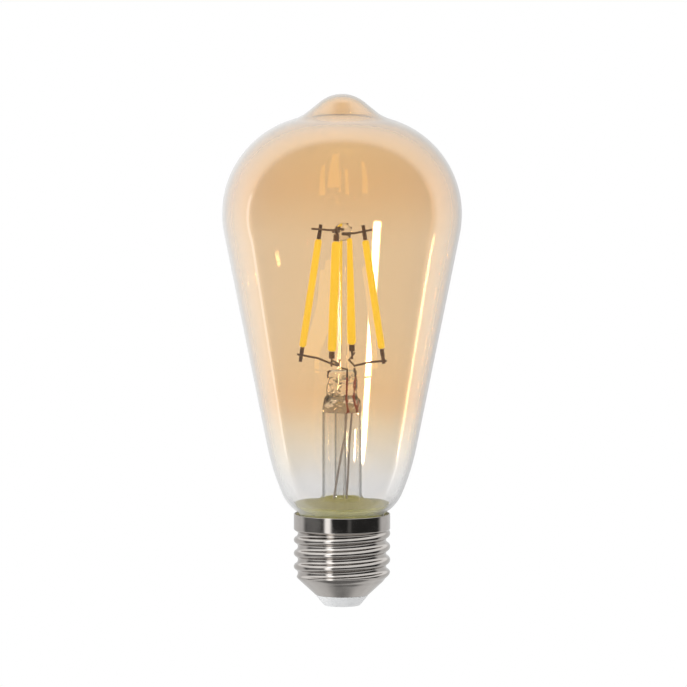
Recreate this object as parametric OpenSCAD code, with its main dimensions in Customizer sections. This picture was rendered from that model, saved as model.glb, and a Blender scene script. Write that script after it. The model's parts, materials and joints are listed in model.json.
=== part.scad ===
// Smart filament lamp: a tapered amber bulb with a pinched tip, four LED
// filaments on a glass stem, and an E27 screw cap that holds the driver.
// All sizes are in millimetres. +Z runs up the lamp, the centre contact
// touches z = 0, and the front of the lamp faces -Y.

/* [Bulb glass] */
// Height of the tip above the centre contact
lamp_h = 140; // [120:0.5:160]
// Wall of the blown glass
glass_wall = 0.8; // [0.5:0.1:1.2]
// Radius at the point of the tip
tip_r = 9.6; // [6:0.1:14]
// Angle that the tip turns through
tip_sweep = 39.2; // [30:0.2:50]
// Straight flank under the tip
tip_flank = 4.2; // [2:0.1:6]
// Hollow radius between the tip and the dome
tip_fillet = 11.6; // [6:0.2:16]
// Slope of the dome where the tip leaves it
dome_start = 16.2; // [10:0.2:24]
// Radius of the dome
dome_r = 26.6; // [20:0.2:32]
// Radius from the widest point to the taper
waist_r = 29.8; // [20:0.2:60]
// Slope of the tapered wall, from the vertical
taper = 11.4; // [5:0.1:20]
// Length of the tapered wall
taper_len = 59; // [40:0.5:70]
// Radius where the taper begins to close
belly_r = 64; // [40:1:100]
// Angle that this curve turns through
belly_sweep = 11.8; // [5:0.2:20]
// Radius that closes to the neck
shoulder_r = 11.8; // [8:0.2:20]
// Angle that this curve turns through
shoulder_sweep = 31.4; // [20:0.2:45]
// Length of the neck inside the cap
cuff_len = 5.4; // [3:0.2:8]

/* [Stem] */
// Radius of the stem tube
stem_r = 5.35; // [4:0.05:7]
// Wall of the stem tube
stem_wall = 0.6; // [0.4:0.05:1.2]
// Height of the tube's upper end
stem_top = 53.5; // [45:0.5:60]
// Height of the top of the press
press_top = 64.8; // [60:0.2:70]
// Width of the press
press_w = 9.2; // [6:0.2:12]
// Thickness of the press
press_t = 3.6; // [2.5:0.1:5]
// Sideways shift of the exhaust tube
stem_shift = -0.4; // [-1:0.1:1]
// Radius of the exhaust tube
exhaust_r = 1.6; // [1.2:0.1:2.2]
// Height of the sealed tail of the exhaust tube
exhaust_z = 20.6; // [20:0.2:24]
// Radius of the glass rod
rod_r = 1.2; // [1:0.1:2.5]
// Sideways shift of the rod
rod_shift = 0.2; // [-1:0.1:1]
// Height of the bead on the rod
bead_z = 102.5; // [95:0.5:108]
// Radius of the bead
bead_r = 2.4; // [2:0.1:4]

/* [Filaments] */
// Length of the yellow coating
coat_len = 29.7; // [20:0.1:40]
// Width of the coating
coat_w = 2.4; // [1:0.1:3]
// Thickness of the coating
coat_t = 2; // [1:0.1:3]
// Length over the end tabs
filament_len = 38; // [30:0.5:50]
// Distance of the upper coating end from the lamp's axis
ring_top = 6.55; // [4:0.05:10]
// Distance of the lower coating end from the lamp's axis
ring_bottom = 11.1; // [8:0.1:14]
// Height of the middle of the filaments
ring_z = 85.6; // [75:0.1:95]
// Direction of the back filament
ring_turn = 76; // [0:1:90]
// Radius of the support wires
wire_r = 0.3; // [0.2:0.05:0.5]
// LED chips on each filament
chip_count = 24; // [12:1:40]

/* [Screw cap] */
// Height of the collar's rim
rim_z = 25.5; // [24:0.1:27]
// Height where the collar ends and the thread starts
collar_z = 21.4; // [20:0.1:23]
// Sheet thickness
sheet = 0.3; // [0.2:0.05:0.5]
// Thread pitch, seven turns to the inch
pitch = 3.629; // [3.6:0.001:3.7]
// Radius of the collar and of the thread crests
collar_r = 13.15; // [13:0.01:13.2]
// Radius of the rolled crests and roots
roll_r = 1.025; // [0.9:0.005:1.2]
// Thread height at the +X side
thread_z = 16.45; // [14:0.05:18]
// Radius of the lower lip of the shell
lip_r = 7.3; // [6.5:0.1:8]
// Height of the lower lip
lip_z = 3.3; // [3:0.1:4]
// Radius of the contact
contact_r = 4.2; // [3.5:0.1:5]

/* [Driver] */
// Radius of the board
board_r = 11.2; // [9:0.1:11.5]
// Height of the underside of the board
board_z = 18; // [16:0.1:19]
// Thickness of the board
board_t = 1; // [0.6:0.1:1.6]
// Height of the top of the potting
potting_z = 27.6; // [26:0.1:28]

/* [Hidden] */
$fn = 48;
arc_step = 4;
slack = 0.02;
wire_sides = 12;
closing = taper + belly_sweep + shoulder_sweep;
neck_fillet = 1;

// Steps of a wall line: [radius, angle turned], or [0, straight length].
glass_steps = [
    [tip_r, tip_sweep],
    [0, tip_flank],
    [tip_fillet, dome_start - tip_sweep],
    [dome_r, 90 - dome_start],
    [waist_r, taper],
    [0, taper_len],
    [belly_r, belly_sweep],
    [shoulder_r, shoulder_sweep],
    [0, 0.6],
    [neck_fillet, -closing],
    [0, cuff_len]
];
flare_steps = [
    [0, 22.2],
    [2, -80],
    [0, 6.1]
];

// Filament places around the axis: name order is back, left, front, right.
back = ring_turn;
left = ring_turn + 90;
front = ring_turn + 180;
right = ring_turn + 270;
ring_mid = (ring_top + ring_bottom) / 2;
lean = asin((ring_bottom - ring_top) / coat_len);
strip = [0.4, 0.9, coat_len + 2.7];
tab_w = 0.9;
tab_t = 0.35;
tab_side = tab_t / 2 + wire_r;
chip_groove = [0.2, 0.5, coat_len - 1.2];

// Routes of the wires, as points [x, y, z].
rod_top = [rod_shift, 0, bead_z];
left_lead_foot = [1.4, -1.1, press_top - 1.8];
right_lead_foot = [3.4, 0.1, press_top - 1.8];
front_hub = [-0.8, -2.6, 66.2];
right_hub = [3.4, 0.1, 66];
positive_post = [
    front_hub + [0.35, 0.2, -2 * wire_r],
    [1.4, -1.7, 65.2],
    left_lead_foot
];
negative_post = [right_hub - [0, 0, 2 * wire_r], right_lead_foot];
positive_seal = [left_lead_foot, [1.2, -0.8, 58], [1.2, -0.8, stem_top - 0.6]];
negative_seal = [right_lead_foot, [3, 0.2, 58], [2.7, 0.4, stem_top - 0.6]];
positive_lead = [
    positive_seal[2],
    [0.8, -2.2, 47],
    [-0.2, -2.7, 42],
    [-1.7, -2.7, 33],
    [-2.4, -2.8, 28.5],
    [-2.4, -2.8, board_z + board_t]
];
negative_lead = [
    negative_seal[2],
    [2, 2, 44],
    [1.7, 2.4, 36],
    [1.2, 2.7, 28.5],
    [1.2, 2.7, board_z + board_t]
];
live_route = [[0, 0, 6.55], [1.2, 0.4, 9], [1.6, 0.8, 14], [1.6, 0.8, board_z]];
neutral_route = [[11.3, 0, 13], [10.6, 0, 15.5], [9.6, 0, board_z]];

// Thread form: crests and roots are arcs about the mean radius.
roll_c = sqrt(roll_r * roll_r - pitch * pitch / 16);
mean_r = collar_r - roll_r + roll_c;
cone_slope = (12.6 - lip_r) / (8.2 - lip_z);
cone_wall = 1.5 * sheet;
turn_n = 48;
rise_n = 43;
shell_top = collar_z + 0.4;

// Module board, standing on the driver board behind the axis.
module_size = [11, 0.8, 8.2];
module_y = 5.2;

// ---------------------------------------------------------------- curves

// Points along a wall line. Heading 0 runs outwards and 90 runs down.
function wall_points(p, a, steps, inset = 0) =
    let (q = p - inset * [sin(a), cos(a)])
    concat([q], wall_rest(q, a, steps, inset, 0));

function wall_rest(p, a, steps, inset, i) =
    i == len(steps) ? []
    : steps[i][0] == 0 ? wall_straight(p, a, steps, inset, i)
    : wall_arc(p, a, steps, inset, i);

function wall_straight(p, a, steps, inset, i) =
    let (q = p + steps[i][1] * [cos(a), -sin(a)])
    concat([q], wall_rest(q, a, steps, inset, i + 1));

function wall_arc(p, a, steps, inset, i) =
    let (
        sweep = steps[i][1],
        k = sign(sweep),
        r = steps[i][0] - k * inset,
        c = p - k * r * [sin(a), cos(a)],
        n = ceil(abs(sweep) / arc_step),
        arc = [for (j = [1:n]) c + k * r * [sin(a + sweep * j / n), cos(a + sweep * j / n)]]
    )
    concat(arc, wall_rest(arc[n - 1], a + sweep, steps, inset, i + 1));

function backwards(list) = [for (i = [len(list) - 1:-1:0]) list[i]];

function glass_line(inset) = wall_points([0, lamp_h], 0, glass_steps, inset);

function glass_radius(z, inset) =
    lookup(z, [for (p = glass_line(inset)) [p[1], p[0]]]);

function polar(a, r, z, side = 0) =
    [r * cos(a) - side * sin(a), r * sin(a) + side * cos(a), z];

function unit(v) = v / norm(v);

function direction(points, i) =
    let (last = len(points) - 1)
    unit(
        (i < last ? unit(points[i + 1] - points[i]) : [0, 0, 0])
        + (i > 0 ? unit(points[i] - points[i - 1]) : [0, 0, 0])
    );

function wire_ring(points, i, r) =
    let (
        t = direction(points, i),
        u = unit(cross(t, [0.2, 0.94, 0.27])),
        v = cross(t, u)
    )
    [for (j = [0:wire_sides - 1])
        let (a = 360 * j / wire_sides)
        points[i] + r * (cos(a) * u + sin(a) * v)];

// A wire of round section swept through a list of points.
module wire(points, r) {
    n = wire_sides;
    last = len(points) - 1;
    rings = [for (i = [0:last]) each wire_ring(points, i, r)];
    sides = [for (i = [0:last - 1], j = [0:n - 1])
        let (a = i * n + j, b = i * n + (j + 1) % n)
        each [[a, a + n, b], [b, a + n, b + n]]];
    foot = [for (j = [0:n - 1]) j];
    head = [for (j = [n - 1:-1:0]) last * n + j];
    polyhedron(points = rings, faces = concat([foot, head], sides));
}

// ----------------------------------------------------------------- glass

module glass_envelope() {
    color([0.87, 0.66, 0.42, 0.35])
        rotate_extrude()
            polygon(concat(glass_line(0), backwards(glass_line(glass_wall))));
}

module stem_tube() {
    start = [stem_r, stem_top];
    color([0.85, 0.87, 0.85, 0.5])
        rotate_extrude()
            polygon(concat(
                wall_points(start, 90, flare_steps),
                backwards(wall_points(start, 90, flare_steps, stem_wall))
            ));
}

module press_body() {
    hull() {
        translate([0, 0, stem_top])
            cylinder(h = 0.6, r = stem_r, $fn = 32);
        translate([0, 0, stem_top + 3.2])
            press_flat(0.5);
    }
    translate([0, 0, stem_top + 3.5])
        press_flat(press_top - stem_top - 3.5);
}

module press_flat(h) {
    hull()
        for (x = [-1, 1])
            translate([x * (press_w - press_t) / 2, 0, 0])
                cylinder(h = h, r = press_t / 2, $fn = 24);
}

module stem_press() {
    color([0.82, 0.83, 0.80, 0.6])
        difference() {
            press_body();
            wire(positive_seal, wire_r);
            wire(negative_seal, wire_r);
            wire(positive_post, wire_r);
            wire(negative_post, wire_r);
        }
}

module exhaust_tube() {
    color([0.84, 0.86, 0.84, 0.5])
        translate([stem_shift, 0, 0])
            difference() {
                union() {
                    translate([0, 0, exhaust_z + exhaust_r])
                        cylinder(h = stem_top - exhaust_z - exhaust_r, r = exhaust_r);
                    translate([0, 0, exhaust_z + exhaust_r])
                        sphere(exhaust_r);
                }
                translate([0, 0, exhaust_z + exhaust_r])
                    cylinder(h = stem_top, r = exhaust_r - 0.5);
            }
}

module support_rod() {
    reach = bead_z - sqrt(bead_r * bead_r - rod_r * rod_r) - press_top;
    color([0.86, 0.88, 0.86, 0.6])
        translate([rod_shift, 0, press_top])
            cylinder(h = reach - 0.05, r = rod_r);
}

module rod_bead() {
    color([0.86, 0.88, 0.86, 0.6])
        difference() {
            translate(rod_top)
                sphere(bead_r);
            top_bridge(left, front, -0.4);
            top_bridge(right, back, 0.4);
        }
}

// ----------------------------------------------------------------- wires

// One bent wire through the bead, which joins the tops of two filaments.
module top_bridge(a, b, drop) {
    hub = rod_top - [0, 0, drop];
    wire([
        polar(a, 8.4, bead_z + 0.7, tab_side),
        polar(a, 3.4, bead_z - drop, tab_side),
        hub,
        polar(b, 3.4, bead_z - drop, -tab_side),
        polar(b, 8.2, bead_z + 0.5, -tab_side)
    ], wire_r);
}

module top_bridge_left_front() {
    color([0.40, 0.37, 0.33])
        top_bridge(left, front, -0.4);
}

module top_bridge_right_back() {
    color([0.40, 0.37, 0.33])
        top_bridge(right, back, 0.4);
}

module bottom_bridge_left_front() {
    color([0.38, 0.35, 0.31])
        wire([
            polar(left, 12.7, 68.8, -tab_side),
            polar(left, 7, 67.9, -tab_side),
            [-3, -0.9, 66.7],
            front_hub,
            polar(front, 7, 67.3, tab_side),
            polar(front, 12.1, 68.4, tab_side)
        ], wire_r);
}

module bottom_bridge_right_back() {
    color([0.38, 0.35, 0.31])
        wire([
            polar(right, 12.4, 67.6, tab_side),
            polar(right, 8.3, 67.2, tab_side),
            right_hub,
            polar(back, 6, 67, -tab_side),
            polar(back, 12.1, 68.4, -tab_side)
        ], wire_r);
}

module positive_inner_lead() {
    color([0.38, 0.35, 0.31])
        wire(positive_post, wire_r);
}

module negative_inner_lead() {
    color([0.38, 0.35, 0.31])
        wire(negative_post, wire_r);
}

module positive_dumet_seal() {
    color([0.72, 0.33, 0.20])
        wire(positive_seal, wire_r - 0.02);
}

module negative_dumet_seal() {
    color([0.72, 0.33, 0.20])
        wire(negative_seal, wire_r - 0.02);
}

module positive_lead_wire() {
    color([0.50, 0.47, 0.42])
        wire(positive_lead, wire_r);
}

module negative_lead_wire() {
    color([0.50, 0.47, 0.42])
        wire(negative_lead, wire_r);
}

// ------------------------------------------------------------- filaments

// Frame of one filament: +Z along it, +X away from the lamp's axis.
module on_ring(a) {
    rotate([0, 0, a])
        translate([ring_mid, 0, ring_z])
            rotate([0, -lean, 0])
                children();
}

module filament_coating(a) {
    color([0.98, 0.80, 0.24])
        on_ring(a)
            difference() {
                intersection() {
                    cube([coat_t, coat_w, coat_len], center = true);
                    cylinder(h = coat_len, r = 0.55 * coat_w, center = true);
                }
                cube([strip[0], strip[1], coat_len + 1], center = true);
                translate([strip[0] / 2 + chip_groove[0] / 2 - 0.01, 0, 0])
                    cube(chip_groove, center = true);
            }
}

module filament_strip(a) {
    color([0.93, 0.93, 0.90])
        on_ring(a)
            cube(strip, center = true);
}

module filament_chips(a) {
    run = coat_len - 2.6;
    color([0.55, 0.60, 0.85])
        on_ring(a)
            for (i = [0:chip_count - 1])
                translate([strip[0] / 2, -0.2, -run / 2 + run * i / (chip_count - 1) - 0.35])
                    cube([0.14, 0.4, 0.7]);
}

// A metal tab crimped on the end of the strip; way is 1 for the upper end.
module filament_tab(a, way) {
    base = coat_len / 2 + 0.15;
    reach = filament_len / 2 - base;
    color([0.45, 0.42, 0.38])
        on_ring(a)
            difference() {
                union() {
                    translate([0, 0, way * (base + 0.9)])
                        cube([0.8, 1.4, 1.8], center = true);
                    translate([0, 0, way * (base + reach / 2)])
                        cube([tab_w, tab_t, reach], center = true);
                }
                cube(strip, center = true);
            }
}

// ------------------------------------------------------------- screw cap

// Distance of the rolled thread surface from its crest radius.
function thread_depth(a, z) =
    let (
        u = (z - thread_z - pitch * a / 360) / pitch,
        v = abs(u - round(u)) * pitch
    )
    v < pitch / 4
        ? roll_r - sqrt(roll_r * roll_r - v * v)
        : let (w = pitch / 2 - v)
          collar_r - mean_r - roll_c + sqrt(roll_r * roll_r - w * w);

function fade(z) = min(1, max(0, (collar_z + 0.1 - z) / 1.2));

function cone_r(z) = lip_r + cone_slope * (z - lip_z);

function soft_min(a, b, k) =
    let (h = max(k - abs(a - b), 0) / k)
    min(a, b) - h * h * k / 4;

function shell_r(a, z) =
    soft_min(cone_r(z), collar_r - thread_depth(a, z) * fade(z), 1.2);

function shell_ring(z, inner) =
    [for (j = [0:turn_n - 1])
        let (
            a = 360 * j / turn_n,
            r = shell_r(a, z) - (inner ? (z < 9 ? cone_wall : sheet) : 0)
        )
        [r * cos(a), r * sin(a), z]];

// Rolled sheet with a thread, from the lower lip up to the rim.
module cap_shell() {
    rise = [for (i = [0:rise_n])
        i < rise_n ? lip_z + (shell_top - lip_z) * i / (rise_n - 1) : rim_z];
    outer = [for (z = rise) each shell_ring(z, false)];
    inner = [for (z = rise) each shell_ring(z, true)];
    half = len(outer);
    skin = [for (i = [0:rise_n - 1], j = [0:turn_n - 1])
        let (
            k = (j + 1) % turn_n,
            a = i * turn_n + j,
            b = i * turn_n + k,
            c = a + turn_n,
            d = b + turn_n
        )
        each [
            [a, c, b], [b, c, d],
            [half + a, half + b, half + c], [half + b, half + d, half + c]
        ]];
    ends = [for (j = [0:turn_n - 1], e = [0, 1])
        let (
            k = (j + 1) % turn_n,
            row = e * rise_n * turn_n,
            a = row + j,
            b = row + k
        )
        each e == 0
            ? [[a, b, half + a], [b, half + b, half + a]]
            : [[a, half + a, b], [b, half + a, half + b]]];
    color([0.78, 0.76, 0.72])
        polyhedron(points = concat(outer, inner), faces = concat(skin, ends));
}

module cap_insulator() {
    hold = lip_r - cone_wall - 0.1;
    color([0.90, 0.91, 0.92])
        rotate_extrude()
            polygon([
                [1.05, 0.9],
                [contact_r + 0.05, 0.9],
                [contact_r + 0.05, 0.45],
                [4.5, 0.3],
                [4.9, 0.4],
                [5.3, 0.8],
                [7.1, 3],
                [7.1, lip_z - 0.02],
                [hold, lip_z - 0.02],
                [hold, lip_z + 0.1],
                [hold + 2.2, lip_z + 2.15],
                [hold + 2.2, 6.2],
                [1.05, 6.2]
            ]);
}

module centre_contact() {
    color([0.86, 0.84, 0.80])
        rotate_extrude()
            polygon([
                [0, 0],
                [1.8, 0],
                [2.8, 0.08],
                [3.6, 0.3],
                [4.1, 0.6],
                [contact_r, 0.88],
                [1, 0.88],
                [1, 6.5],
                [0, 6.5]
            ]);
}

module basing_cement() {
    neck = glass_radius(22, 0) + slack;
    color([0.72, 0.69, 0.60])
        translate([0, 0, collar_z + 0.5])
            difference() {
                cylinder(h = rim_z - collar_z - 0.8, r = collar_r - sheet - slack);
                translate([0, 0, -1])
                    cylinder(h = rim_z - collar_z + 2, r = neck);
                translate([0, 0, 3])
                    cylinder(h = 1, r1 = neck, r2 = neck + 1.1);
            }
}

// --------------------------------------------------------- neck and driver

module neck_potting() {
    low = board_z + board_t + 1.2;
    wall = glass_wall + slack;
    line = [for (p = glass_line(wall)) if (p[1] > low && p[1] < potting_z) p];
    color([0.45, 0.46, 0.26])
        difference() {
            rotate_extrude()
                polygon(concat(
                    [[0, potting_z], [glass_radius(potting_z, wall), potting_z]],
                    line,
                    [[glass_radius(low, wall), low], [0, low]]
                ));
            translate([stem_shift, 0, low - 1])
                cylinder(h = 10, r = exhaust_r + slack);
            for (lead = [positive_lead[5], negative_lead[4]])
                translate(lead)
                    cylinder(h = 10, r = wire_r + slack);
            translate([-module_size[0] / 2 - slack, module_y - slack, low - 1])
                cube([module_size[0] + 2 * slack, module_size[1] + 1.8, 7.9]);
        }
}

module driver_board() {
    color([0.12, 0.42, 0.22])
        translate([0, 0, board_z])
            difference() {
                cylinder(h = board_t, r = board_r);
                translate([stem_shift, 0, -1])
                    cylinder(h = 4, r = 2);
                translate([9.6, 0, -1])
                    cylinder(h = 4, r = 0.5);
                translate([-board_r - 1, -1.5, -1])
                    cube([2.5, 3, 4]);
            }
}

// A flat moulded package under the board, with legs on two sides.
module package(x, y, size, legs) {
    translate([x, y, board_z - size[2] / 2])
        union() {
            cube(size, center = true);
            for (i = [0:legs - 1], side = [-1, 1])
                translate([
                    (i - (legs - 1) / 2) * size[0] / legs,
                    side * (size[1] / 2 + 0.35),
                    size[2] / 2 - 0.15
                ])
                    cube([0.4, 0.8, 0.3], center = true);
        }
}

module driver_chip() {
    color([0.10, 0.10, 0.11])
        package(-5.5, 5, [4.9, 3.9, 1.5], 4);
}

module bridge_rectifier() {
    color([0.12, 0.12, 0.12])
        package(5, 5.6, [4.7, 4, 1.6], 2);
}

module smoothing_capacitor() {
    color([0.15, 0.17, 0.30])
        translate([-5.2, -4.6, board_z - 9.8])
            union() {
                cylinder(h = 8.6, r = 3.15);
                translate([0, 0, 8.6])
                    cylinder(h = 0.7, r = 2.7);
                for (x = [-1.25, 1.25])
                    translate([x, 0, 9.2])
                        cylinder(h = 0.6, r = 0.25);
            }
}

module inductor() {
    color([0.45, 0.28, 0.16])
        translate([4.6, -5.2, board_z - 6])
            rotate_extrude()
                polygon([
                    [0, 0], [3, 0], [3, 1], [2.6, 1.2],
                    [2.6, 4.6], [3, 4.8], [3, 6], [0, 6]
                ]);
}

module fuse_resistor() {
    color([0.32, 0.52, 0.62])
        union() {
            translate([-3.2, 9, 14.6])
                rotate([0, 90, 0])
                    cylinder(h = 6.4, r = 1.15);
            wire([[-3.2, 9, 14.6], [-4.4, 9, 14.6], [-4.4, 9, board_z]], 0.25);
            wire([[3.2, 9, 14.6], [4.4, 9, 14.6], [4.4, 9, board_z]], 0.25);
        }
}

module ceramic_capacitors() {
    color([0.74, 0.62, 0.45])
        for (p = [[-9.2, 2.6], [-1.6, -6.8], [8.6, -1.8], [-1.2, 5.6]])
            translate([p[0], p[1], board_z - 0.45])
                cube([1.2, 2, 0.9], center = true);
}

module chip_resistors() {
    color([0.10, 0.10, 0.10])
        for (p = [[-8.8, -0.6], [-6.6, 0.6], [-4.6, 0.6], [0.2, -8.6], [6.2, 0.8], [8.4, 2.2]])
            translate([p[0], p[1], board_z - 0.3])
                cube([0.8, 1.6, 0.6], center = true);
}

module wireless_module() {
    color([0.08, 0.22, 0.40])
        translate([-module_size[0] / 2, module_y, board_z + board_t])
            cube(module_size);
}

module module_shield() {
    color([0.74, 0.74, 0.74])
        translate([-4, module_y + module_size[1], board_z + board_t + 0.4])
            cube([8, 1.5, 4.8]);
}

// Printed meander on the upper edge, which stands above the metal rim.
module module_antenna() {
    face = module_y + module_size[1];
    top = board_z + board_t + module_size[2];
    color([0.85, 0.62, 0.30])
        union() {
            for (i = [0:5])
                translate([-4.5 + i * 1.6, face, top - 2.2])
                    cube([0.4, 0.1, 1.9]);
            for (i = [0:4])
                translate([-4.5 + i * 1.6, face, top - (i % 2 == 0 ? 0.7 : 2.2)])
                    cube([2, 0.1, 0.4]);
        }
}

module live_wire() {
    color([0.75, 0.14, 0.12])
        wire(live_route, 0.45);
}

module neutral_wire() {
    color([0.85, 0.85, 0.82])
        wire(neutral_route, 0.4);
}

// ----------------------------------------------------------------- nodes

glass_envelope();
stem_tube();
stem_press();
exhaust_tube();
support_rod();
rod_bead();
top_bridge_left_front();
top_bridge_right_back();
bottom_bridge_left_front();
bottom_bridge_right_back();
positive_inner_lead();
negative_inner_lead();
positive_dumet_seal();
negative_dumet_seal();
positive_lead_wire();
negative_lead_wire();
filament_coating(left);  // left_filament_coating
filament_strip(left);  // left_filament_strip
filament_chips(left);  // left_filament_chips
filament_tab(left, 1);  // left_filament_top_tab
filament_tab(left, -1);  // left_filament_bottom_tab
filament_coating(front);  // front_filament_coating
filament_strip(front);  // front_filament_strip
filament_chips(front);  // front_filament_chips
filament_tab(front, 1);  // front_filament_top_tab
filament_tab(front, -1);  // front_filament_bottom_tab
filament_coating(right);  // right_filament_coating
filament_strip(right);  // right_filament_strip
filament_chips(right);  // right_filament_chips
filament_tab(right, 1);  // right_filament_top_tab
filament_tab(right, -1);  // right_filament_bottom_tab
filament_coating(back);  // back_filament_coating
filament_strip(back);  // back_filament_strip
filament_chips(back);  // back_filament_chips
filament_tab(back, 1);  // back_filament_top_tab
filament_tab(back, -1);  // back_filament_bottom_tab
cap_shell();
cap_insulator();
centre_contact();
basing_cement();
neck_potting();
driver_board();
driver_chip();
bridge_rectifier();
smoothing_capacitor();
inductor();
fuse_resistor();
ceramic_capacitors();
chip_resistors();
wireless_module();
module_shield();
module_antenna();
live_wire();
neutral_wire();
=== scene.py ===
import json
import math
import random

import bpy
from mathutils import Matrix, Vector
from mathutils import noise


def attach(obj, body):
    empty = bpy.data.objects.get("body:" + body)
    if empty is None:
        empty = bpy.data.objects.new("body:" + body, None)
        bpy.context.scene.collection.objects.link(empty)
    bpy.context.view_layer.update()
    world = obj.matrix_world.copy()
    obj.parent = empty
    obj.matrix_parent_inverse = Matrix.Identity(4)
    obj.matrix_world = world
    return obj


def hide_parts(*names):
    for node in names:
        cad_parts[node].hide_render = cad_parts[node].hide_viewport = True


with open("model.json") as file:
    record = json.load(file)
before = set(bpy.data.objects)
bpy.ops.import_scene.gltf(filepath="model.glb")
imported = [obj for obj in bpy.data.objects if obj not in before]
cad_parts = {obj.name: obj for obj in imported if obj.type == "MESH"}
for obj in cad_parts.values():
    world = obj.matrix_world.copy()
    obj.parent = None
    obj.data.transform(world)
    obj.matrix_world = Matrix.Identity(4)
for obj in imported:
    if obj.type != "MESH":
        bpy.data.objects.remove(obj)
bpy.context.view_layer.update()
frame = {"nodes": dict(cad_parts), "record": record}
MM = 0.001
LAMP_H = 140.0


# ------------------------------------------------------------------ nodes

class Tree:
    """Adds nodes to a node tree and links them."""

    def __init__(self, tree):
        self.tree = tree
        self.tree.nodes.clear()

    def add(self, kind, inputs=None, **settings):
        node = self.tree.nodes.new(kind)
        for key, value in settings.items():
            setattr(node, key, value)
        for key, value in (inputs or {}).items():
            self.put(self.socket(node, key), value)
        return node

    def socket(self, node, key):
        """The input of that name or number; a Mix node has one set for each kind of data."""
        if isinstance(key, str):
            return next(s for s in node.inputs if s.name == key and s.enabled)
        return node.inputs[key]

    def result(self, node):
        return next(s for s in node.outputs if s.enabled)

    def put(self, socket, value):
        if isinstance(value, bpy.types.NodeSocket):
            self.tree.links.new(value, socket)
        elif value is not None:
            socket.default_value = value

    def math(self, operation, a, b=None):
        node = self.add("ShaderNodeMath", operation=operation)
        self.put(node.inputs[0], a)
        self.put(node.inputs[1], b)
        return node.outputs[0]

    def span(self, value, low, high, to_low=0.0, to_high=1.0, smooth=True):
        node = self.add(
            "ShaderNodeMapRange",
            {"Value": value, "From Min": low, "From Max": high, "To Min": to_low, "To Max": to_high},
            interpolation_type="SMOOTHSTEP" if smooth else "LINEAR",
        )
        return node.outputs["Result"]

    def blend(self, factor, a, b):
        return self.result(
            self.add("ShaderNodeMix", {"Factor": factor, "A": a, "B": b}, data_type="FLOAT")
        )

    def ramp(self, value, stops):
        node = self.add("ShaderNodeValToRGB", {"Fac": value})
        elements = node.color_ramp.elements
        elements[0].position, elements[0].color = stops[0]
        elements[1].position, elements[1].color = stops[-1]
        for place, colour in stops[1:-1]:
            elements.new(place).color = colour
        return node.outputs["Color"]

    def noise(self, coords, scale, detail=2.0, roughness=0.5):
        return self.add(
            "ShaderNodeTexNoise",
            {"Vector": coords, "Scale": scale, "Detail": detail, "Roughness": roughness},
        ).outputs["Fac"]

    def bump(self, height, strength, distance):
        return self.add(
            "ShaderNodeBump",
            {"Height": height, "Strength": strength, "Distance": distance},
        ).outputs["Normal"]


def rgb(r, g, b, a=1.0):
    return (r, g, b, a)


def principled(name, settings, build=None):
    """A material on one Principled shader; build links the varying inputs."""
    material = bpy.data.materials.new(name)
    material.use_nodes = True
    tree = Tree(material.node_tree)
    output = tree.add("ShaderNodeOutputMaterial")
    shader = tree.add("ShaderNodeBsdfPrincipled", settings)
    tree.tree.links.new(shader.outputs["BSDF"], output.inputs["Surface"])
    if build:
        place = tree.add("ShaderNodeTexCoord").outputs["Object"]
        for key, value in build(tree, place).items():
            tree.put(shader.inputs[key], value)
    return material


def height_of(tree, place):
    return tree.add("ShaderNodeSeparateXYZ", {"Vector": place}).outputs["Z"]


# -------------------------------------------------------------- materials

# Colour that one wall of the glass gives, by height in mm.
AMBER = [
    (34.0, rgb(0.922, 0.912, 0.903)),
    (42.9, rgb(0.942, 0.879, 0.784)),
    (48.4, rgb(0.956, 0.846, 0.697)),
    (56.6, rgb(0.960, 0.761, 0.535)),
    (67.5, rgb(0.951, 0.775, 0.562)),
    (78.4, rgb(0.946, 0.784, 0.584)),
    (100.3, rgb(0.942, 0.780, 0.584)),
    (115.3, rgb(0.912, 0.706, 0.477)),
    (125.0, rgb(0.926, 0.720, 0.469)),
]


def amber_glass(name, coat):
    """Amber glass that clears towards the neck; coat is the gloss and sheen of its film."""
    def build(tree, place):
        uneven = tree.noise(place, 45.0, 3.0)
        height = tree.math("ADD", height_of(tree, place), tree.span(uneven, 0.3, 0.7, -0.001, 0.001))
        share = tree.math("DIVIDE", height, LAMP_H * MM)
        return {"Base Color": tree.ramp(share, [(z / LAMP_H, colour) for z, colour in AMBER])}

    return principled(
        name,
        {
            "Transmission Weight": 1.0, "Roughness": 0.0, "IOR": 1.5,
            "Coat Weight": coat, "Coat Roughness": 0.0, "Coat IOR": 2.0,
            "Sheen Weight": coat, "Sheen Roughness": 0.5,
        },
        build,
    )


def clear_glass():
    """Clear glass of the stem, faintly rippled."""
    def build(tree, place):
        ripple = tree.noise(place, 160.0, 2.0)
        clear = tree.ramp(ripple, [(0.2, rgb(0.97, 0.975, 0.97)), (0.8, rgb(0.99, 0.99, 0.99))])
        return {
            "Base Color": clear,
            "Normal": tree.bump(ripple, 0.06, 0.0004),
        }

    return principled(
        "stem_glass",
        {"Transmission Weight": 1.0, "Roughness": 0.0, "IOR": 1.5},
        build,
    )


def seed_glass():
    """Pinched glass, full of ripples and tool marks."""
    def build(tree, place):
        lumps = tree.noise(place, 800.0, 4.0, 0.6)
        return {
            "Base Color": tree.ramp(lumps, [(0.3, rgb(0.92, 0.93, 0.92)), (0.7, rgb(0.98, 0.99, 0.98))]),
            "Normal": tree.bump(lumps, 0.2, 0.0006),
        }

    return principled(
        "press_glass",
        {"Transmission Weight": 1.0, "Roughness": 0.02, "IOR": 1.5},
        build,
    )


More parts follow.
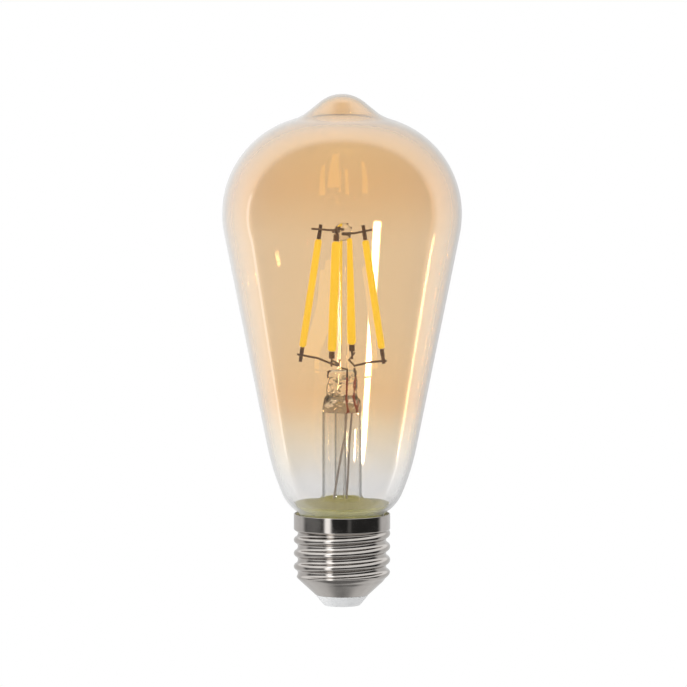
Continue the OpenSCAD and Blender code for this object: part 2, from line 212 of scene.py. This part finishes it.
def nickel():
    def build(tree, place):
        stain = tree.noise(place, 220.0, 5.0, 0.6)
        stretched = tree.add(
            "ShaderNodeMapping", {"Vector": place, "Scale": (60.0, 60.0, 2600.0)}
        ).outputs["Vector"]
        brushed = tree.noise(stretched, 1.0, 3.0)
        return {
            "Base Color": tree.ramp(stain, [(0.25, rgb(0.46, 0.43, 0.405)), (0.75, rgb(0.56, 0.53, 0.50))]),
            "Roughness": tree.span(stain, 0.3, 0.75, 0.09, 0.20),
            "Normal": tree.bump(brushed, 0.03, 0.00003),
        }

    return principled("nickel_plate", {"Metallic": 1.0}, build)


def wire_metal(name, dark, light):
    def build(tree, place):
        oxide = tree.noise(place, 900.0, 4.0, 0.6)
        return {
            "Base Color": tree.ramp(oxide, [(0.3, rgb(*dark)), (0.7, rgb(*light))]),
            "Roughness": tree.span(oxide, 0.3, 0.7, 0.28, 0.5),
        }

    return principled(name, {"Metallic": 1.0}, build)


def phosphor():
    def build(tree, place):
        grain = tree.noise(place, 2600.0, 2.0)
        return {
            "Base Color": tree.ramp(grain, [(0.3, rgb(0.94, 0.70, 0.05)), (0.7, rgb(0.98, 0.80, 0.10))]),
            "Roughness": tree.span(grain, 0.3, 0.7, 0.3, 0.42),
            "Normal": tree.bump(grain, 0.1, 0.00003),
        }

    return principled(
        "phosphor_silicone",
        {
            "Subsurface Weight": 0.25,
            "Subsurface Radius": (1.0, 0.6, 0.1),
            "Subsurface Scale": 0.0006,
            # Painted glow: the unlit coating gets a yellow emission so it shows bright, standing in for
            # light that does not reach it through the glass.
            "Emission Color": rgb(1.0, 0.72, 0.05),
            "Emission Strength": 0.66,
            "IOR": 1.42,
        },
        build,
    )


def mottled(name, dark, light, scale, settings, rough=(0.35, 0.5), bump=0.1, depth=0.0001):
    """Plain stuff with mottled colour, uneven gloss and a fine texture."""
    def build(tree, place):
        grain = tree.noise(place, scale, 4.0, 0.6)
        return {
            "Base Color": tree.ramp(grain, [(0.3, rgb(*dark)), (0.7, rgb(*light))]),
            "Roughness": tree.span(grain, 0.3, 0.7, *rough),
            "Normal": tree.bump(grain, bump, depth),
        }

    return principled(name, settings, build)


MATERIALS = {
    "amber_glass": amber_glass("amber_glass", 1.0),
    "amber_inside": amber_glass("amber_inside", 0.0),
    "stem_glass": clear_glass(),
    "press_glass": seed_glass(),
    # Painted glow: the seal glass has a faint olive emission that stands in for light not reaching it
    # through the bulb.
    "seal_glass": mottled(
        "seal_glass", (0.66, 0.63, 0.32), (0.76, 0.72, 0.42), 200.0,
        {"Transmission Weight": 0.7, "Emission Color": rgb(0.60, 0.55, 0.25), "Emission Strength": 0.14},
        (0.15, 0.25), 0.08, 0.0003,
    ),
    "nickel_shell": nickel(),
    # Painted glow: the support wire has a faint brown emission that stands in for light not reaching it
    # through the glass.
    "support_wire": mottled(
        "support_wire", (0.13, 0.095, 0.065), (0.27, 0.205, 0.15), 900.0,
        {"Metallic": 0.3, "Emission Color": rgb(0.26, 0.18, 0.12), "Emission Strength": 0.25}, (0.35, 0.5)
    ),
    "filament_tab": mottled(
        "filament_tab", (0.15, 0.095, 0.06), (0.28, 0.19, 0.125), 900.0, {"Metallic": 0.3}, (0.35, 0.5)
    ),
    # Painted glow: the lead wire has a faint emission that stands in for light not reaching it through the
    # glass.
    "lead_wire": mottled(
        "lead_wire", (0.50, 0.44, 0.40), (0.62, 0.56, 0.52), 900.0,
        {"Emission Color": rgb(0.50, 0.42, 0.38), "Emission Strength": 0.3}, (0.4, 0.6),
    ),
    # Painted glow: the dumet wire has a faint red emission that stands in for light not reaching it through
    # the glass.
    "dumet_wire": mottled(
        "dumet_wire", (0.42, 0.13, 0.08), (0.66, 0.27, 0.18), 900.0,
        {"Metallic": 0.3, "Emission Color": rgb(0.45, 0.12, 0.08), "Emission Strength": 0.3}, (0.3, 0.5)
    ),
    "contact_metal": wire_metal("contact_metal", (0.58, 0.55, 0.50), (0.76, 0.73, 0.68)),
    "tinned_shield": wire_metal("tinned_shield", (0.60, 0.60, 0.60), (0.76, 0.76, 0.75)),
    "copper_trace": wire_metal("copper_trace", (0.70, 0.42, 0.18), (0.85, 0.58, 0.28)),
    "phosphor_silicone": phosphor(),
    "vitrite": mottled(
        "vitrite", (0.88, 0.89, 0.90), (0.94, 0.945, 0.95), 300.0,
        {"Coat Weight": 0.4, "Coat Roughness": 0.15}, (0.22, 0.34), 0.02,
    ),
    "cement": mottled("cement", (0.50, 0.46, 0.36), (0.66, 0.62, 0.50), 1400.0, {}, (0.7, 0.9), 0.5),
    # Painted glow: the potting has a faint olive emission that stands in for light not reaching it through
    # the glass.
    "potting": mottled(
        "potting", (0.62, 0.60, 0.20), (0.80, 0.76, 0.34), 260.0,
        {"Emission Color": rgb(0.55, 0.52, 0.12), "Emission Strength": 0.25}, (0.25, 0.45), 0.25, 0.0003,
    ),
    "filament_strip": mottled("filament_strip", (0.78, 0.78, 0.74), (0.86, 0.86, 0.83), 1500.0, {}),
    "led_chip": mottled("led_chip", (0.20, 0.28, 0.62), (0.32, 0.42, 0.76), 2500.0, {}, (0.12, 0.2)),
    "green_board": mottled("green_board", (0.01, 0.12, 0.04), (0.02, 0.18, 0.07), 700.0, {}, (0.3, 0.45)),
    "blue_board": mottled("blue_board", (0.01, 0.04, 0.14), (0.02, 0.07, 0.20), 700.0, {}, (0.3, 0.45)),
    "black_package": mottled("black_package", (0.012, 0.012, 0.014), (0.03, 0.03, 0.03), 1600.0, {}),
    "capacitor_can": mottled(
        "capacitor_can", (0.015, 0.02, 0.07), (0.03, 0.035, 0.11), 600.0, {}, (0.2, 0.3)
    ),
    "ferrite": mottled("ferrite", (0.05, 0.035, 0.03), (0.16, 0.08, 0.04), 1200.0, {}, (0.5, 0.7)),
    "resistor_body": mottled(
        "resistor_body", (0.07, 0.20, 0.30), (0.11, 0.28, 0.40), 900.0, {}, (0.25, 0.35)
    ),
    "ceramic_chip": mottled("ceramic_chip", (0.40, 0.28, 0.16), (0.52, 0.38, 0.22), 1800.0, {}),
    "live_insulation": mottled("live_insulation", (0.42, 0.02, 0.015), (0.55, 0.035, 0.02), 800.0, {}),
    "neutral_insulation": mottled(
        "neutral_insulation", (0.62, 0.62, 0.58), (0.74, 0.74, 0.70), 800.0, {}
    ),
}


# ----------------------------------------------------------------- shapes

def wall_points(start, heading, steps, inset=0.0, arc=2.0):
    """Points along a wall line in mm. Heading 0 runs outwards and 90 runs down."""
    a = math.radians(heading)
    r = start[0] - inset * math.sin(a)
    z = start[1] - inset * math.cos(a)
    points = [(r, z)]
    for radius, sweep in steps:
        if radius == 0:
            r += sweep * math.cos(a)
            z -= sweep * math.sin(a)
            points.append((r, z))
            continue
        side = 1 if sweep > 0 else -1
        bend = radius - side * inset
        centre = (r - side * bend * math.sin(a), z - side * bend * math.cos(a))
        count = max(2, math.ceil(abs(sweep) / arc))
        for i in range(1, count + 1):
            turn = a + math.radians(sweep) * i / count
            points.append((
                centre[0] + side * bend * math.sin(turn),
                centre[1] + side * bend * math.cos(turn),
            ))
        a += math.radians(sweep)
        r, z = points[-1]
    return points


def even(points, step):
    """The same line with no segment longer than step."""
    out = [points[0]]
    for a, b in zip(points, points[1:]):
        count = max(1, math.ceil(math.dist(a, b) / step))
        out += [tuple(p + (q - p) * i / count for p, q in zip(a, b)) for i in range(1, count + 1)]
    return out


SHARP = math.radians(38)


def make(name, vertices, faces, slot, node=None, material=None):
    """A smooth mesh piece from points in mm; it stands for the named CAD node."""
    mesh = bpy.data.meshes.new(name)
    mesh.from_pydata([tuple(c * MM for c in v) for v in vertices], [], faces)
    mesh.validate()
    mesh.polygons.foreach_set("use_smooth", [True] * len(mesh.polygons))
    mesh.set_sharp_from_angle(angle=SHARP)
    mesh.materials.append(MATERIALS[material or slot])
    piece = bpy.data.objects.new(name, mesh)
    bpy.context.scene.collection.objects.link(piece)
    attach(piece, "root")
    if node:
        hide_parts(node)
    return piece


def grid_faces(rows, columns, close_rows=False):
    """Quads between rings of points, wound outwards for a line that runs down."""
    faces = []
    for i in range(rows if close_rows else rows - 1):
        k = (i + 1) % rows
        for j in range(columns):
            n = (j + 1) % columns
            faces.append((i * columns + j, k * columns + j, k * columns + n, i * columns + n))
    return faces


def lathe(name, line, slot, node=None, segments=160, centre=(0.0, 0.0), closed=True, wobble=None):
    """Turns a line about Z. Points on the axis become one vertex."""
    vertices = []
    rings = []
    for r, z in line:
        if r < 1e-6:
            rings.append([len(vertices)])
            vertices.append((centre[0], centre[1], z))
            continue
        ring = []
        for j in range(segments):
            a = 2 * math.pi * j / segments
            x, y = math.cos(a), math.sin(a)
            radius = r + (wobble(x * r, y * r, z) if wobble else 0.0)
            ring.append(len(vertices))
            vertices.append((centre[0] + radius * x, centre[1] + radius * y, z))
        rings.append(ring)
    faces = []
    pairs = list(zip(rings, rings[1:] + rings[:1])) if closed else list(zip(rings, rings[1:]))
    for upper, lower in pairs:
        if len(upper) == 1 and len(lower) == 1:
            continue
        for j in range(segments):
            n = (j + 1) % segments
            if len(upper) == 1:
                faces.append((upper[0], lower[j], lower[n]))
            elif len(lower) == 1:
                faces.append((upper[j], lower[0], upper[n]))
            else:
                faces.append((upper[j], lower[j], lower[n], upper[n]))
    return make(name, vertices, faces, slot, node)


def rounded(points, radius, steps=4):
    """A line with its inner corners rounded off."""
    out = [points[0]]
    for before, corner, after in zip(points, points[1:], points[2:]):
        c = Vector(corner)
        u, v = Vector(before) - c, Vector(after) - c
        cut = min(radius, u.length * 0.45, v.length * 0.45)
        a, b = c + u.normalized() * cut, c + v.normalized() * cut
        for i in range(steps + 1):
            t = i / steps
            out.append(tuple(a * (1 - t) ** 2 + c * 2 * t * (1 - t) + b * t * t))
    out.append(points[-1])
    return out


# ------------------------------------------------------------ bulb glass

GLASS_WALL = 0.8
DOME_CENTRE = 0.105
GLASS_STEPS = [
    (9.6, 39.2), (0, 4.2), (11.6, -23.0), (26.6, 73.8), (29.8, 11.4), (0, 59.0),
    (64.0, 11.8), (11.8, 31.4), (0, 0.6), (1.0, -54.6), (0, 5.4),
]


def glass_line(inset):
    return even(wall_points((0, LAMP_H), 0, GLASS_STEPS, inset), 1.2)


def glass_wobble(x, y, z):
    """Blown glass is a few hundredths of a millimetre out of round, always inwards here."""
    place = Vector((x, y, z)) * 0.05
    return 0.02 * (noise.noise(place) - 1) * min(1.0, max(0.0, (z - 30) / 10))


bulb = lathe(
    "bulb_glass",
    glass_line(0) + glass_line(GLASS_WALL)[::-1],
    "amber_glass",
    "glass_envelope",
    segments=256,
    wobble=glass_wobble,
)
bulb.data.materials.append(MATERIALS["amber_inside"])
for face in bulb.data.polygons:
    side = Vector((face.center.x, face.center.y, face.center.z - DOME_CENTRE))
    face.material_index = 1 if face.normal.dot(side) < 0 else 0


# ------------------------------------------------------------------- stem

STEM_TOP = 53.5
PRESS_TOP = 64.8
SHIFT = -0.4
ROD_X = 0.2

SEAL_TOP = 30.2
FLARE_STEPS = [(0, 22.2), (2, -80), (0, 6.1)]
flare_outer = even(wall_points((5.35, STEM_TOP), 90, FLARE_STEPS, 0, 5), 1.0)
flare_inner = even(wall_points((5.35, STEM_TOP), 90, FLARE_STEPS, 0.6, 5), 1.0)[:-1]
flare = lathe("stem_flare", flare_outer + flare_inner[::-1], "stem_glass", "stem_tube", segments=96)
flare.data.materials.append(MATERIALS["seal_glass"])
for face in flare.data.polygons:
    face.material_index = 1 if face.center.z < SEAL_TOP * MM else 0

tail = [(1.6 * math.sin(math.radians(a)), 22.2 - 1.6 * math.cos(math.radians(a))) for a in range(0, 91, 10)]
core = [(1.1 * math.sin(math.radians(a)), 22.2 - 1.1 * math.cos(math.radians(a))) for a in range(0, 91, 10)]
exhaust_line = [(1.1, STEM_TOP - 0.05)] + core[::-1] + tail + [(1.6, STEM_TOP - 0.05)]
lathe(
    "exhaust_stem", even(exhaust_line[::-1], 1.0), "stem_glass", "exhaust_tube",
    segments=48, centre=(SHIFT, 0.0),
)


def press_section(z):
    """Half width and half depth of the pinched stem, in mm."""
    t = min(1.0, max(0.0, (z - STEM_TOP) / 4.2))
    dome = math.sqrt(max(0.0, 1 - t * t))
    wide = 4.5 + 0.85 * dome
    deep = 1.75 + 3.6 * dome
    end = min(1.0, max(0.0, (PRESS_TOP - z) / 1.2))
    end = math.sqrt(max(0.0, 1 - (1 - end) ** 2))
    return wide * (0.80 + 0.20 * end), deep * (0.5 + 0.5 * end)


def bubble(vertices, faces, centre, radius):
    """A small void in the glass: a ball turned inside out."""
    first, rings, columns = len(vertices), 6, 10
    for i in range(rings + 1):
        for j in range(columns):
            a, b = math.pi * i / rings, 2 * math.pi * j / columns
            turn = (math.sin(a) * math.cos(b), math.sin(a) * math.sin(b), math.cos(a))
            vertices.append(tuple(c + radius * k * u for c, k, u in zip(centre, (1.3, 0.8, 0.9), turn)))
    for i in range(rings):
        for j in range(columns):
            n = (j + 1) % columns
            a, b = first + i * columns, first + (i + 1) * columns
            faces.append((a + j, a + n, b + n, b + j))


# Number of bubbles, then the range of x and of z that they lie in.
BUBBLES = ((46, -3.4, 3.4, 56.4, 58.3), (34, -1.6, 2.9, 61.0, 63.4), (30, -3.4, 0, 58, 63))


def press_piece():
    rows, columns = 60, 80
    vertices = []
    for i in reversed(range(rows)):
        z = STEM_TOP + (PRESS_TOP - STEM_TOP) * i / (rows - 1)
        wide, deep = press_section(z)
        calm = min(1.0, max(0.0, (z - STEM_TOP - 1.0) / 3.5))
        for j in range(columns):
            a = 2 * math.pi * j / columns
            c, s = math.cos(a), math.sin(a)
            square = 1 - 0.25 * calm
            x = wide * math.copysign(abs(c) ** square, c)
            y = deep * math.copysign(abs(s) ** square, s)
            coarse = noise.noise(Vector((x, y * 1.5, z)) * 0.55)
            fine = noise.noise(Vector((x + 9, y, z)) * 1.7)
            lump = 1 - calm * (0.10 - 0.14 * coarse - 0.06 * fine)
            vertices.append((x * min(lump, 1.0), y * min(lump, 1.0), z))
    faces = grid_faces(rows, columns)
    top, bottom = len(vertices), len(vertices) + 1
    vertices.append((0, 0, PRESS_TOP))
    vertices.append((0, 0, STEM_TOP))
    last = (rows - 1) * columns
    for j in range(columns):
        n = (j + 1) % columns
        faces.append((top, j, n))
        faces.append((bottom, last + n, last + j))
    chance = random.Random(5)
    for count, left, right, low, high in BUBBLES:
        for _ in range(count):
            place = (chance.uniform(left, right), chance.uniform(-0.9, 0.7), chance.uniform(low, high))
            bubble(vertices, faces, place, chance.uniform(0.10, 0.32))
    return make("stem_pinch", vertices, faces, "stem_glass", "stem_press", material="press_glass")


press_piece()

rod_line = [(0, 100.2)] + [(1.2, 100.2 - i * 35.4 / 36) for i in range(37)] + [(0, PRESS_TOP)]
lathe("glass_rod", rod_line, "stem_glass", "support_rod", segments=40, centre=(ROD_X, 0.0), closed=False)

bead_line = [
    (2.4 * math.sin(math.radians(a)), 102.5 + 2.4 * math.cos(math.radians(a)))
    for a in range(0, 181, 6)
]
lathe("glass_bead", bead_line, "stem_glass", "rod_bead", segments=48, centre=(ROD_X, 0.0), closed=False)


# -------------------------------------------------------------- filaments

RING_TOP, RING_BOTTOM, COAT_LEN, RING_Z = 6.55, 11.1, 29.7, 85.6
LEAN = math.asin((RING_BOTTOM - RING_TOP) / COAT_LEN)


def on_ring(direction, point):
    """Moves a point from a filament's own frame to the lamp's."""
    x, y, z = point
    u = x * math.cos(LEAN) - z * math.sin(LEAN) + (RING_TOP + RING_BOTTOM) / 2
    w = x * math.sin(LEAN) + z * math.cos(LEAN) + RING_Z
    a = math.radians(direction)
    return (u * math.cos(a) - y * math.sin(a), u * math.sin(a) + y * math.cos(a), w)


def filament(side, direction):
    columns, rows = 28, 72
    vertices = []
    for i in range(rows):
        t = i / (rows - 1)
        z = COAT_LEN / 2 * (1 - 2 * t)
        end = min(1.0, (COAT_LEN / 2 - abs(z)) / 0.7)
        end = 0.62 + 0.38 * math.sqrt(max(0.0, 1 - (1 - end) ** 2))
        for j in range(columns):
            a = 2 * math.pi * j / columns
            c, s = math.cos(a), math.sin(a)
            x = 0.92 * math.copysign(abs(c) ** 0.72, c)
            y = 1.2 * math.copysign(abs(s) ** 0.72, s)
            drip = 0.97 + 0.03 * noise.noise(Vector((direction, z * 0.35, a * 0.3)))
            vertices.append(on_ring(direction, (x * end * drip, y * end * drip, z)))
    faces = grid_faces(rows, columns)
    top, bottom = len(vertices), len(vertices) + 1
    vertices.append(on_ring(direction, (0, 0, COAT_LEN / 2)))
    vertices.append(on_ring(direction, (0, 0, -COAT_LEN / 2)))
    last = (rows - 1) * columns
    for j in range(columns):
        n = (j + 1) % columns
        faces.append((top, j, n))
        faces.append((bottom, last + n, last + j))
    make(side + "_filament", vertices, faces, "phosphor_silicone", side + "_filament_coating")


for side, direction in (("back", 76), ("left", 166), ("front", 256), ("right", 346)):
    filament(side, direction)


# -------------------------------------------------------------- screw cap

COLLAR_R, COLLAR_Z, RIM_Z, SHEET = 13.15, 21.4, 25.5, 0.3
PITCH, ROLL_R, THREAD_Z = 3.629, 1.025, 16.45
LIP_R, LIP_Z = 7.3, 3.3
ROLL_C = math.sqrt(ROLL_R ** 2 - PITCH ** 2 / 16)
MEAN_R = COLLAR_R - ROLL_R + ROLL_C


def thread_depth(turn, z):
    """How far the rolled thread lies inside its crests, in mm."""
    u = (z - THREAD_Z - PITCH * turn) / PITCH
    v = abs(u - round(u)) * PITCH
    if v < PITCH / 4:
        return ROLL_R - math.sqrt(ROLL_R ** 2 - v * v)
    w = PITCH / 2 - v
    return COLLAR_R - MEAN_R - ROLL_C + math.sqrt(ROLL_R ** 2 - w * w)


def shell_radius(turn, z):
    fade = min(1.0, max(0.0, (COLLAR_Z + 0.1 - z) / 1.2))
    fade = fade * fade * (3 - 2 * fade)
    body = COLLAR_R - thread_depth(turn, z) * fade
    cone = LIP_R + (12.6 - LIP_R) / (8.2 - LIP_Z) * (z - LIP_Z)
    h = max(1.2 - abs(cone - body), 0) / 1.2
    return min(cone, body) - h * h * 0.3


def shell_piece():
    columns = 180
    levels = [RIM_Z - 0.12 - (RIM_Z - 0.12 - LIP_Z) * i / 220 for i in range(221)]
    outer = [(z, 0.0) for z in levels]
    rim = [(RIM_Z - 0.03, 0.04), (RIM_Z, 0.12), (RIM_Z - 0.01, 0.2), (RIM_Z - 0.06, SHEET)]
    inner = [(z, 0.45 if z < 9 else SHEET) for z in levels]
    path = outer[::-1] + rim + inner
    vertices = []
    for z, depth in path[::-1]:
        for j in range(columns):
            turn = j / columns
            a = 2 * math.pi * turn
            r = shell_radius(turn, min(z, RIM_Z)) - depth
            vertices.append((r * math.cos(a), r * math.sin(a), z))
    faces = [face[::-1] for face in grid_faces(len(path), columns, close_rows=True)]
    return make("screw_shell", vertices, faces, "nickel_shell", "cap_shell")


shell_piece()

insulator_line = rounded([
    (1.05, 6.2), (8.95, 6.2), (8.95, 5.45), (6.8, 3.42), (6.8, 3.28), (7.1, 3.28),
    (7.1, 3.0), (5.3, 0.8), (4.9, 0.4), (4.5, 0.3), (4.25, 0.45), (4.25, 0.9), (1.05, 0.9),
], 0.3)
lathe("vitrite_base", insulator_line, "vitrite", "cap_insulator", segments=128)

contact_line = rounded([
    (0, 6.5), (1.0, 6.5), (1.0, 0.88), (4.2, 0.88), (4.1, 0.6), (3.6, 0.3), (2.8, 0.08), (1.8, 0), (0, 0),
], 0.25)
lathe("contact_cap", contact_line, "contact_metal", "centre_contact", segments=96, closed=False)

NECK_R = wall_points((0, LAMP_H), 0, GLASS_STEPS)[-1][0]
cement_line = rounded([
    (NECK_R + 0.02, 24.9), (12.2, 25.2), (12.83, 25.4), (12.83, 21.9), (NECK_R + 0.02, 21.9),
], 0.2)
lathe("cement_ring", cement_line, "cement", "basing_cement", segments=128)


# --------------------------------------------------------------- CAD nodes

SLOT_OF = {part["node"]: part["material_slot"] for part in frame["record"]["subparts"]}
for node, piece in frame["nodes"].items():
    piece.data.materials.clear()
    piece.data.materials.append(MATERIALS[SLOT_OF[node]])


# ------------------------------------------------------- stage and camera

# From azimuth, to azimuth, edge, from elevation, to elevation, edge, brightness.
GLASS_BOXES = [
    (-105, -101, 0.8, -24, 14, 4.0, 0.8),
    (105, 107, 0.8, -34, -20, 4.0, 1.2),
]
INNER_BOXES = [
    (-40, -33, 1.6, 13.0, 26.0, 2.0, 90.0),
]
METAL_BOXES = [
    (-42, -27, 4.0, -50, 50, 12.0, 1.7),
    (14, 22, 3.0, -20, 20, 12.0, 0.10),
    (-98, -52, 12.0, -60, 60, 12.0, 0.16),
]

SEEN_LEVEL, THROUGH_LEVEL = 1.0, 1.25


def studio():
    """White surroundings behind and dark ones in front, with soft boxes.

    Sharp reflections in glass and soft ones in metal each get the boxes that suit them. The
    inner boxes show only in reflections from deep in the bulb.
    """
    world = bpy.data.worlds.new("studio")
    bpy.context.scene.world = world
    world.use_nodes = True
    world.cycles.sampling_method = "NONE"
    tree = Tree(world.node_tree)
    way = tree.add("ShaderNodeTexCoord").outputs["Generated"]
    split = tree.add("ShaderNodeSeparateXYZ", {"Vector": way}).outputs
    facing = tree.math("MULTIPLY", split["Y"], -1.0)
    azimuth = tree.math("ARCTAN2", split["X"], facing)

    def turned(degrees):
        return math.radians(degrees)

    def raised(degrees):
        return math.sin(math.radians(degrees))

    def panel(low, high, edge, bottom, top, soft, power):
        left = tree.span(azimuth, turned(low - edge), turned(low + edge))
        right = tree.span(azimuth, turned(high - edge), turned(high + edge), 1.0, 0.0)
        under = tree.span(split["Z"], raised(bottom - soft), raised(bottom + soft))
        over = tree.span(split["Z"], raised(top - soft), raised(top + soft), 1.0, 0.0)
        shape = tree.math(
            "MULTIPLY", tree.math("MULTIPLY", left, right), tree.math("MULTIPLY", under, over)
        )
        return tree.math("MULTIPLY", shape, power)

    def lit(base, boxes):
        for box in boxes:
            base = tree.math("ADD", base, panel(*box))
        return base

    path = tree.add("ShaderNodeLightPath").outputs
    deep = tree.math("GREATER_THAN", path["Transmission Depth"], 3.5)

    rim = tree.math(
        "SUBTRACT",
        tree.span(facing, -0.08, -0.32, 0.03, 0.82),
        tree.span(facing, -0.45, -0.97, 0.0, 0.27),
    )
    around = tree.math("MULTIPLY", rim, tree.span(split["Z"], -0.60, -0.33, 0.35, 1.0))
    clean = tree.math("LESS_THAN", path["Diffuse Depth"], 0.5)
    inner = tree.math("MULTIPLY", lit(0.0, INNER_BOXES), tree.math("MULTIPLY", deep, clean))
    glass = tree.math("ADD", lit(around, GLASS_BOXES), inner)

    above = tree.span(split["Z"], 0.06, 0.40, 0.0, 1.15)
    below = tree.math(
        "SUBTRACT",
        tree.span(split["Z"], -0.40, -0.65, 0.0, 0.8),
        tree.span(split["Z"], -0.72, -0.90, 0.0, 0.6),
    )
    metal = tree.math(
        "MAXIMUM", tree.span(facing, -0.08, -0.38, 0.03, 0.75), tree.math("ADD", above, below)
    )
    metal = lit(metal, METAL_BOXES)

    through = tree.math(
        "MULTIPLY",
        tree.math("GREATER_THAN", path["Transmission Depth"], 0.5),
        tree.math("LESS_THAN", path["Glossy Depth"], 0.5),
    )
    fill = tree.span(split["X"], -1.0, 1.0, 1.5, 0.45, smooth=False)
    level = tree.blend(path["Is Singular Ray"], metal, glass)
    level = tree.blend(path["Is Diffuse Ray"], level, fill)
    level = tree.blend(through, level, THROUGH_LEVEL)
    level = tree.blend(path["Is Camera Ray"], level, SEEN_LEVEL)
    background = tree.add("ShaderNodeBackground", {"Color": rgb(1, 1, 1), "Strength": level})
    output = tree.add("ShaderNodeOutputWorld")
    tree.tree.links.new(background.outputs[0], output.inputs["Surface"])


def floor():
    mesh = bpy.data.meshes.new("floor")
    half, drop = 0.15, -0.04
    corners = [(-half, -half, drop), (half, -half, drop), (half, half, drop), (-half, half, drop)]
    mesh.from_pydata(corners, [], [(0, 1, 2, 3)])
    material = bpy.data.materials.new("floor_white")
    material.use_nodes = True
    tree = Tree(material.node_tree)
    shaded = tree.add("ShaderNodeBsdfDiffuse", {"Color": rgb(0.7, 0.7, 0.7)})
    white = tree.add("ShaderNodeEmission", {"Color": rgb(1, 1, 1), "Strength": 1.0})
    path = tree.add("ShaderNodeLightPath").outputs
    mixer = tree.add(
        "ShaderNodeMixShader", {0: path["Is Camera Ray"], 1: shaded.outputs[0], 2: white.outputs[0]}
    )
    output = tree.add("ShaderNodeOutputMaterial")
    tree.tree.links.new(mixer.outputs[0], output.inputs["Surface"])
    mesh.materials.append(material)
    piece = bpy.data.objects.new("floor", mesh)
    piece.visible_glossy = False
    piece.visible_transmission = False
    bpy.context.scene.collection.objects.link(piece)


PX_PER_MM, FRAME_PX, SENSOR = 3.675, 687, 36.0


def camera():
    distance, lift = 2.0, math.radians(5.16)
    target = Vector((0.00041, 0.0, 0.072))
    data = bpy.data.cameras.new("camera")
    data.sensor_width = SENSOR
    data.lens = PX_PER_MM * distance / MM / FRAME_PX * SENSOR
    data.clip_start, data.clip_end = 0.05, 50.0
    item = bpy.data.objects.new("camera", data)
    item.location = target + Vector((0.0, -math.cos(lift), math.sin(lift))) * distance
    item.rotation_euler = (math.radians(90) - lift, 0.0, 0.0)
    bpy.context.scene.collection.objects.link(item)
    bpy.context.scene.camera = item


studio()
floor()
camera()

scene = bpy.context.scene
scene.view_settings.view_transform = "Standard"
scene.cycles.max_bounces = 32
scene.cycles.transmission_bounces = 32
scene.cycles.glossy_bounces = 8
scene.cycles.transparent_max_bounces = 32
scene.cycles.sample_clamp_indirect = 0.0
